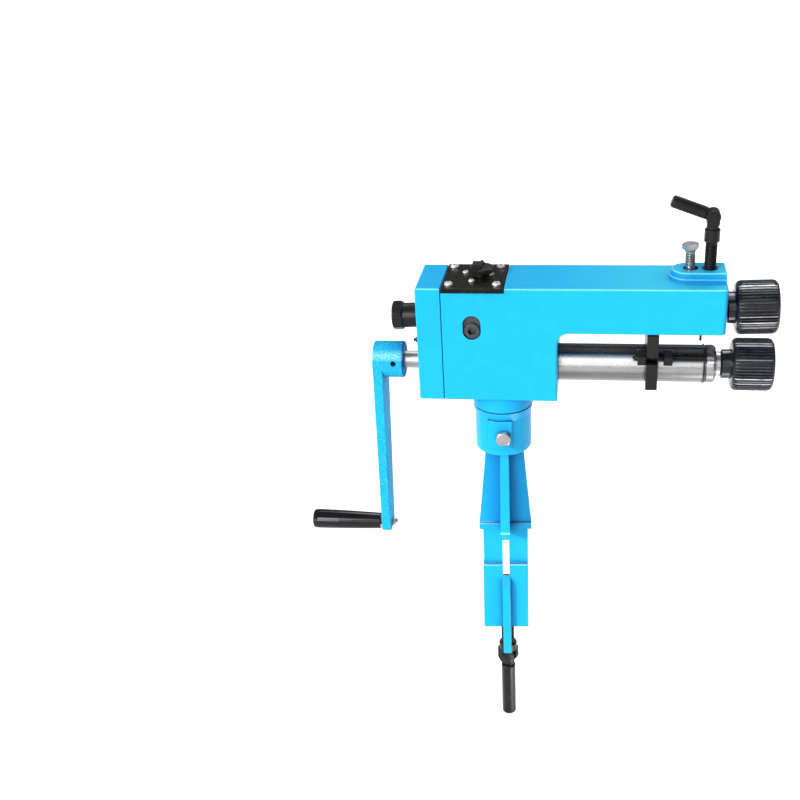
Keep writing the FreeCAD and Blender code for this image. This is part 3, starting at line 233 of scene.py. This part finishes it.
def metal(name, base, rough=(0.25, 0.4), metallic=1.0, bump=0.00003, streak=None, bevel=0.0004, vary=0.12, oil=0.0, tint=None, spec=0.5, shade_heights=None):
    """Bare, plated or blackened steel. streak gives the direction of the tool marks."""
    m = Mat(name)
    m.put(Metallic=metallic, Specular_IOR_Level=spec)
    if oil:
        m.put(Coat_Weight=oil, Coat_Roughness=0.18)
    patch = m.noise(22.0, 4.0, 0.6)
    lo = tuple(c * (1 - vary) for c in base)
    hi = tuple(min(1.0, c * (1 + vary)) for c in (tint or base))
    col = m.mix(m.ramp(patch, [(0.3, 0.0), (0.7, 1.0)]), lo, hi)
    edge, soft = m.edges(bevel)
    # edges lighter: partly worn edges, partly a painted highlight
    bright = tuple(min(1.0, c * 1.6 + 0.03) for c in base)
    col = m.mix(m.math("MULTIPLY", m.ramp(edge, [(0.03, 0.0), (0.3, 1.0)]), 0.5), col, bright)
    # painted shade: darker in grooves and tight corners, from ambient occlusion
    groove = m.math("MULTIPLY", m.hollow(0.0025, 4), 1.7, True)
    col = m.mix(m.math("MULTIPLY", groove, 0.9), col, tuple(c * 0.08 for c in base))
    if shade_heights:
        # painted shade: the shell is darkened below and above these heights, standing in for the dim reflections along
        # the top and bottom of the tube
        where = m.new("ShaderNodeSeparateXYZ")
        m.link(m.coord.outputs["Object"], where.inputs[0])
        under, over = (m.new("ShaderNodeMapRange", interpolation_type="SMOOTHSTEP") for _ in range(2))
        under.inputs["From Min"].default_value, under.inputs["From Max"].default_value = shade_heights[0] + 0.003, shade_heights[0] - 0.002
        over.inputs["From Min"].default_value, over.inputs["From Max"].default_value = shade_heights[1] - 0.0012, shade_heights[1] + 0.0012
        m.link(where.outputs[2], under.inputs["Value"])
        m.link(where.outputs[2], over.inputs["Value"])
        col = m.mix(m.math("MULTIPLY", under.outputs[0], 0.62), col, tuple(c * 0.16 for c in base))
        col = m.mix(m.math("MULTIPLY", over.outputs[0], 0.70), col, tuple(c * 0.16 for c in base))
    m.link(col, m.bsdf.inputs["Base Color"])
    grain_vec = m.mapped(streak) if streak else m.mapped()
    grain = m.noise(160.0, 4.0, 0.6, grain_vec)
    r = m.new("ShaderNodeMapRange")
    r.inputs["To Min"].default_value, r.inputs["To Max"].default_value = rough
    m.link(m.math("ADD", m.math("MULTIPLY", grain, 0.6), m.math("MULTIPLY", patch, 0.4)), r.inputs["Value"])
    m.link(r.outputs[0], m.bsdf.inputs["Roughness"])
    m.bump([(grain, bump, 0.6), (m.noise(45.0, 2.0), bump * 3.0, 0.25)], soft)
    return m.m


def gloss_black(name):
    m = Mat(name)
    m.put(Metallic=0.0, Coat_Weight=0.60, Coat_Roughness=0.04, Specular_IOR_Level=0.18)
    swirl = m.noise(30.0, 3.0, 0.5)
    m.link(m.mix(m.ramp(swirl, [(0.3, 0.0), (0.7, 1.0)]), (0.004, 0.004, 0.005), (0.010, 0.010, 0.012)), m.bsdf.inputs["Base Color"])
    r = m.new("ShaderNodeMapRange")
    r.inputs["To Min"].default_value, r.inputs["To Max"].default_value = 0.06, 0.16
    m.link(m.noise(120.0, 3.0, 0.6), r.inputs["Value"])
    m.link(r.outputs[0], m.bsdf.inputs["Roughness"])
    edge, soft = m.edges(0.0004)
    m.bump([(m.noise(55.0, 2.0, 0.4), 0.00006, 0.3)], soft)
    return m.m



def roll_metal(name, x0, z0, slope, glint_ridges):
    """Black oxide with the crests of the ridges worn bright. The axis runs through z0 at x0 with the given slope;
    glint_ridges lists ridges made bright steel at fixed angles, painted highlights where the lights glint: angle in
    degrees above the front, half width, strength."""
    m = Mat(name)
    m.put(Metallic=0.0, Coat_Weight=0.0, Specular_IOR_Level=0.60)
    sep = m.new("ShaderNodeSeparateXYZ")
    m.link(m.coord.outputs["Object"], sep.inputs[0])
    along = m.math("MULTIPLY", m.math("SUBTRACT", sep.outputs[0], x0), slope)
    dz = m.math("SUBTRACT", m.math("SUBTRACT", sep.outputs[2], z0), along)
    rad = m.math("SQRT", m.math("ADD", m.math("MULTIPLY", dz, dz), m.math("MULTIPLY", sep.outputs[1], sep.outputs[1])))
    crest = m.new("ShaderNodeMapRange")
    crest.inputs["From Min"].default_value, crest.inputs["From Max"].default_value = 0.0266, 0.0276
    m.link(rad, crest.inputs["Value"])
    wear = m.noise(240.0, 4.0, 0.65, m.mapped((0.35, 1.0, 1.0)))
    worn = m.math("MULTIPLY", crest.outputs[0], m.ramp(wear, [(0.40, 0.04), (0.62, 1.0)]), True)
    patch = m.noise(60.0, 3.0, 0.6)
    dark = m.mix(m.ramp(patch, [(0.3, 0.0), (0.7, 1.0)]), (0.004, 0.005, 0.008), (0.012, 0.014, 0.020))
    ang = m.math("ARCTAN2", dz, m.math("MULTIPLY", sep.outputs[1], -1.0))
    # painted highlights: ridges at the listed angles are mixed to bright steel
    bright = 0.0
    for deg, half, much in glint_ridges:
        off = m.math("ABSOLUTE", m.math("SUBTRACT", ang, math.radians(deg)))
        on = m.new("ShaderNodeMapRange", interpolation_type="SMOOTHSTEP")
        on.inputs["From Min"].default_value, on.inputs["From Max"].default_value = math.radians(half), math.radians(half * 0.4)
        m.link(off, on.inputs["Value"])
        bright = m.math("MAXIMUM", m.math("MULTIPLY", on.outputs[0], much), bright)
    bright = m.math("MULTIPLY", bright, m.math("MULTIPLY", crest.outputs[0], m.ramp(wear, [(0.34, 0.45), (0.56, 1.0)])), True)
    skin = m.mix(m.math("MULTIPLY", worn, 0.42), dark, (0.09, 0.095, 0.115))
    m.link(m.mix(bright, skin, (0.84, 0.86, 0.92)), m.bsdf.inputs["Base Color"])
    m.link(m.math("MAXIMUM", m.math("MULTIPLY", worn, 0.30, True), m.math("MULTIPLY", bright, 0.35)), m.bsdf.inputs["Metallic"])
    m.link(m.mix(m.ramp(wear, [(0.3, 0.0), (0.7, 1.0)]), (0.15, 0.15, 0.15), (0.28, 0.28, 0.28)), m.bsdf.inputs["Roughness"])
    edge, soft = m.edges(0.0003)
    m.bump([(m.noise(420.0, 3.0, 0.6, m.mapped((0.3, 1.0, 1.0))), 0.00003, 0.5)], soft)
    return m.m


BLUE, BLUE_D, BLUE_L = (0.010, 0.450, 0.83), (0.007, 0.410, 0.78), (0.030, 0.555, 0.91)
mats = {
    "blue_paint": enamel("blue_enamel", BLUE, BLUE_D, BLUE_L),
    "crank_paint": enamel("blue_enamel_rough_cast", (0.016, 0.455, 0.76), (0.012, 0.38, 0.66), BLUE_L, hammered=True, rough=(0.34, 0.50), bevel=0.0012),
    "black_steel": metal("black_oxide", (0.015, 0.0145, 0.0145), (0.26, 0.44), 0.5, 0.00007, vary=0.35, oil=0.10),
    "black_plate": metal("black_plate", (0.008, 0.008, 0.006), (0.20, 0.34), 0.2, 0.00005, vary=0.3, spec=0.22),
    "roll_steel": metal("roll_black", (0.020, 0.023, 0.030), (0.24, 0.40), 0.8, 0.00003, (6.0, 0.8, 0.8), vary=0.3, oil=0.25),
    "bright_steel": metal("ground_steel", (0.52, 0.515, 0.51), (0.34, 0.46), 1.0, 0.00002, (14.0, 0.5, 0.5), vary=0.06),
    "tube_steel": metal("turned_tube", (0.62, 0.61, 0.605), (0.22, 0.34), 1.0, 0.00003, (0.5, 9.0, 9.0), vary=0.12, shade_heights=(0.2080, 0.2262)),
    "zinc": metal("zinc_plate", (0.86, 0.855, 0.84), (0.26, 0.42), 0.5, 0.00004, vary=0.08, tint=(0.93, 0.92, 0.90)),
    "spring_steel": metal("spring_wire", (0.25, 0.25, 0.26), (0.25, 0.4)),
    "bush_bronze": metal("bronze", (0.50, 0.30, 0.12), (0.3, 0.45), vary=0.12),
    "grip_black": gloss_black("gloss_black_grip"),
}
slot_of = {s["node"]: s["material_slot"] for s in frame["record"]["subparts"]}
own = {
    "lower_roll": roll_metal("roll_black_lower", 0.0, 0.211, 0.0, ((76, 4, 0.70), (66, 4, 0.80), (-13, 4, 1.4), (-24, 3, 0.30), (32, 3, 0.20), (8, 3, 0.12))),
    "upper_roll": roll_metal("roll_black_upper", -0.0281984, 0.2657966, 0.034222, ((73, 4, 0.80), (63, 4, 0.50), (54, 4, 0.20), (-2, 3.5, 0.60), (-17, 4, 1.6), (-28, 3, 0.20))),
}
dull_zinc = metal("zinc_dulled", (0.46, 0.455, 0.445), (0.24, 0.40), 0.85, 0.00004, vary=0.12, tint=(0.62, 0.61, 0.60))
own["socket_bolt"] = dull_zinc
own["stop_bolt"] = dull_zinc
# lighter black oxide with wide lightened edges: wear plus a painted highlight ring round the socket head
own["pivot_screw_front"] = metal("black_oxide_wear_and_glint", (0.085, 0.085, 0.09), (0.22, 0.36), 0.6, 0.00005, vary=0.3, bevel=0.0007)
for name, ob in nodes.items():
    ob.data.materials.clear()
    ob.data.materials.append(own.get(name) or mats[slot_of[name]])
    for poly in ob.data.polygons:
        poly.use_smooth = True
    es = ob.modifiers.new("edges", "EDGE_SPLIT")
    es.split_angle = math.radians(28)

# ------------------------------------------------------------------ detail on the moving screws and on the tube


def put_material(ob, mat, angle=28):
    ob.data.materials.clear()
    ob.data.materials.append(mat)
    for poly in ob.data.polygons:
        poly.use_smooth = True
    es = ob.modifiers.new("edges", "EDGE_SPLIT")
    es.split_angle = math.radians(angle)


def helix_cutter(name, axis_point, axis_dir, radius, depth, pitch, z0, z1, seg=28):
    """A closed sharp-nosed band that winds round the axis from z0 to z1 and takes the thread's groove out of a bar."""
    n_turn = (z1 - z0) / pitch
    steps = int(n_turn * seg)
    frame_rot = Vector((0, 0, 1)).rotation_difference(Vector(axis_dir).normalized()).to_matrix()
    origin = Vector(axis_point)
    half = pitch * 0.46
    profile = ((radius + depth * 0.35, half), (radius - depth, 0.0), (radius + depth * 0.35, -half))
    mesh = bmesh.new()
    rings = []
    for i in range(steps + 1):
        a = 2 * math.pi * i / seg
        z = z0 + pitch * i / seg
        ring = []
        for rad, dz in profile:
            v = frame_rot @ Vector((rad * math.cos(a), rad * math.sin(a), z + dz))
            ring.append(mesh.verts.new(origin + v))
        rings.append(ring)
    for a, b in zip(rings, rings[1:]):
        for k in range(3):
            mesh.faces.new((a[k], a[(k + 1) % 3], b[(k + 1) % 3], b[k]))
    mesh.faces.new(rings[0][::-1])
    mesh.faces.new(rings[-1])
    bmesh.ops.recalc_face_normals(mesh, faces=mesh.faces)
    data = bpy.data.meshes.new(name)
    mesh.to_mesh(data)
    mesh.free()
    return bpy.data.objects.new(name, data)


def thread(node, axis_point, axis_dir, radius, depth, pitch, z0, z1):
    """A copy of the node with a real thread cut into it stands in for the node."""
    src = nodes[node]
    new = bpy.data.objects.new(node + "_threaded", src.data.copy())
    new.matrix_world = src.matrix_world.copy()
    bpy.context.scene.collection.objects.link(new)
    weld = bmesh.new()
    weld.from_mesh(new.data)
    bmesh.ops.remove_doubles(weld, verts=weld.verts, dist=1e-6)
    bmesh.ops.recalc_face_normals(weld, faces=weld.faces)
    weld.to_mesh(new.data)
    weld.free()
    cutter = helix_cutter(node + "_cutter", axis_point, axis_dir, radius, depth, pitch, z0, z1)
    bpy.context.scene.collection.objects.link(cutter)
    boolean = new.modifiers.new("thread", "BOOLEAN")
    boolean.operation = "DIFFERENCE"
    boolean.solver = "EXACT"
    boolean.object = cutter
    bpy.context.view_layer.update()
    result = bpy.data.meshes.new_from_object(new.evaluated_get(bpy.context.evaluated_depsgraph_get()))
    new.modifiers.clear()
    old = new.data
    new.data = result
    bpy.data.meshes.remove(old)
    bpy.data.objects.remove(cutter)
    put_material(new, own.get(node) or mats[slot_of[node]], 22)
    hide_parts(node)
    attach(new, body_of[node])
    return new


thread("clamp_screw", (-0.002118, 0.026917, 0.0), (0, 0, 1), 0.0079, 0.0011, 0.002, -0.190, -0.112)
thread("pressure_screw", (0.214, 0.0, 0.0), (0, 0, 1), 0.0060, 0.0009, 0.00175, 0.303, 0.3435)
thread("stop_bolt", (0.1945, 0.0, 0.30764), (-0.03420178, 0.0, 0.99941495), 0.00495, 0.0011, 0.0018, -0.0185, 0.0262)
thread("fence_stud", (0.0, -0.025, 0.228), (1, 0, 0), 0.0039, 0.0006, 0.00125, 0.1435, 0.2135)


def ring_of(name, rows, turn_from, turn_to, centre, steps=72):
    """Part of a ring round an axis along X: rows of (x, radius), swept between two angles and closed at its ends."""
    mesh = bmesh.new()
    loops = []
    for i in range(steps + 1):
        a = math.radians(turn_from + (turn_to - turn_from) * i / steps)
        loops.append([mesh.verts.new((x, centre[0] + rad * math.cos(a), centre[1] + rad * math.sin(a))) for x, rad in rows])
    n = len(rows)
    for a, b in zip(loops, loops[1:]):
        for k in range(n):
            mesh.faces.new((a[k], a[(k + 1) % n], b[(k + 1) % n], b[k]))
    mesh.faces.new(loops[0][::-1])
    mesh.faces.new(loops[-1])
    bmesh.ops.recalc_face_normals(mesh, faces=mesh.faces)
    data = bpy.data.meshes.new(name)
    mesh.to_mesh(data)
    mesh.free()
    ob = bpy.data.objects.new(name, data)
    bpy.context.scene.collection.objects.link(ob)
    return ob


# open snap ring at the tube's end, its gap behind
snap = ring_of("tube_snap_ring", ((0.2127, 0.0199), (0.2127, 0.0207), (0.2133, 0.0211), (0.2139, 0.0211), (0.2143, 0.0207), (0.2143, 0.0199)),
               -250.0, 70.0, (0.0, 0.211))
put_material(snap, mats["black_steel"])
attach(snap, body_of["lower_tube"])

# ------------------------------------------------------------------ floor, light, camera
me = bpy.data.meshes.new("floor")
bm = bmesh.new()
bmesh.ops.create_grid(bm, x_segments=2, y_segments=2, size=9.0)
bm.to_mesh(me)
bm.free()
floor = bpy.data.objects.new("floor", me)
floor.location = (0, 3.0, -0.62)
bpy.context.scene.collection.objects.link(floor)
fm = Mat("pale_floor")
fm.put(Roughness=0.95, Specular_IOR_Level=0.05)
fm.link(fm.mix(fm.noise(3.0), (0.63, 0.63, 0.63), (0.66, 0.66, 0.66)), fm.bsdf.inputs["Base Color"])
# the sweep is lit from beneath behind the object, so that it runs out to white
fsep = fm.new("ShaderNodeSeparateXYZ")
fm.link(fm.coord.outputs["Object"], fsep.inputs[0])
fr = fm.new("ShaderNodeMapRange", interpolation_type="SMOOTHSTEP")
fr.inputs["From Min"].default_value, fr.inputs["From Max"].default_value = -3.10, -2.80
fr.inputs["To Min"].default_value, fr.inputs["To Max"].default_value = 0.0, 0.62
fm.link(fsep.outputs[1], fr.inputs["Value"])
fm.bsdf.inputs["Emission Color"].default_value = (1, 1, 1, 1)

def band(value, lo, hi, edge):
    """1 between lo and hi, falling off over edge on both sides."""
    up_, down_ = (fm.new("ShaderNodeMapRange", interpolation_type="SMOOTHSTEP") for _ in range(2))
    up_.inputs["From Min"].default_value, up_.inputs["From Max"].default_value = lo - edge, lo
    down_.inputs["From Min"].default_value, down_.inputs["From Max"].default_value = hi + edge, hi
    fm.link(value, up_.inputs["Value"])
    fm.link(value, down_.inputs["Value"])
    return fm.math("MULTIPLY", up_.outputs[0], down_.outputs[0])


# a light panel lies in the floor in front of the rolls
panel = fm.math("MULTIPLY", band(fsep.outputs[0], 0.36, 0.72, 0.05), band(fsep.outputs[1], -3.52, -3.16, 0.06))
glow_sum = fm.math("ADD", fr.outputs[0], fm.math("MULTIPLY", panel, 9.0))
fm.link(glow_sum, fm.bsdf.inputs["Emission Strength"])
me.materials.append(fm.m)

world = bpy.data.worlds.new("studio")
bpy.context.scene.world = world
world.use_nodes = True
wn = world.node_tree
wn.nodes.clear()


def wnode(kind, **props):
    n = wn.nodes.new(kind)
    for k, v in props.items():
        setattr(n, k, v)
    return n


def wmath(op, a, b=0.0, clamp=False):
    n = wnode("ShaderNodeMath", operation=op)
    n.use_clamp = clamp
    for sock, v in ((n.inputs[0], a), (n.inputs[1], b)):
        if isinstance(v, (int, float)):
            sock.default_value = v
        else:
            wn.links.new(v, sock)
    return n.outputs[0]


def softbox(direction, inner, outer, strength):
    """A bright patch of the studio round the object, soft from inner to outer degrees off its middle."""
    d = Vector(direction).normalized()
    dot = wnode("ShaderNodeVectorMath", operation="DOT_PRODUCT")
    wn.links.new(tc.outputs["Generated"], dot.inputs[0])
    dot.inputs[1].default_value = d
    mr = wnode("ShaderNodeMapRange", interpolation_type="SMOOTHSTEP")
    mr.inputs["From Min"].default_value = math.cos(math.radians(outer))
    mr.inputs["From Max"].default_value = math.cos(math.radians(inner))
    mr.inputs["To Max"].default_value = strength
    wn.links.new(dot.outputs["Value"], mr.inputs["Value"])
    return mr.outputs[0]


tc = wnode("ShaderNodeTexCoord")
glow = wmath("ADD", 0.12, softbox((-0.9, -0.35, 0.35), 12, 34, 0.6))
glow = wmath("ADD", glow, softbox((0.1, 0.60, 0.79), 7, 21, 6.5))
glow = wmath("ADD", glow, softbox((-0.04, -1.0, 0.20), 8, 18, 1.2))
glow = wmath("ADD", glow, softbox((-0.015, -0.77, 0.62), 7, 16, 1.7))
for tall in ((-0.300, -0.950, 0.087), (-0.286, -0.907, 0.309), (-0.258, -0.818, 0.515)):
    glow = wmath("ADD", glow, softbox(tall, 3, 9, 8.0))
wo = wnode("ShaderNodeOutputWorld")
bg = wnode("ShaderNodeBackground")
wn.links.new(glow, bg.inputs["Strength"])
bg.inputs["Color"].default_value = (1.0, 1.0, 1.0, 1)
wn.links.new(bg.outputs[0], wo.inputs[0])


def sun(name, towards, strength, angle, colour=(1, 1, 1)):
    li = bpy.data.lights.new(name, "SUN")
    li.energy = strength
    li.angle = math.radians(angle)
    li.color = colour
    ob = bpy.data.objects.new(name, li)
    ob.rotation_euler = (-Vector(towards)).to_track_quat("-Z", "Y").to_euler()
    bpy.context.scene.collection.objects.link(ob)
    return ob


sun("key", (-0.80, -0.85, 0.46), 3.0, 7.0)
sun("overhead", (0.15, 0.05, 1.0), 0.35, 30.0)

az, el, roll = math.radians(9.537), math.radians(27.691), math.radians(-3.078)
back = Vector((math.sin(az) * math.cos(el), -math.cos(az) * math.cos(el), math.sin(el)))
right = Vector((math.cos(az), math.sin(az), 0))
up = back.cross(right)
r2 = right * math.cos(roll) + up * math.sin(roll)
u2 = up * math.cos(roll) - right * math.sin(roll)
cam_data = bpy.data.cameras.new("camera")
cam_data.sensor_width = 36.0
cam_data.lens = 1145.2 * 36.0 / 800.0
cam_data.shift_x = (400.0 - 428.5) / 800.0
cam_data.shift_y = (431.9 - 400.0) / 800.0
cam_data.clip_end = 60.0
cam = bpy.data.objects.new("camera", cam_data)
cam.matrix_world = Matrix((
    (r2.x, u2.x, back.x, 0.10549),
    (r2.y, u2.y, back.y, -1.13863),
    (r2.z, u2.z, back.z, 0.72646),
    (0, 0, 0, 1)))
bpy.context.scene.collection.objects.link(cam)
bpy.context.scene.camera = cam
bpy.context.scene.view_settings.view_transform = "Standard"
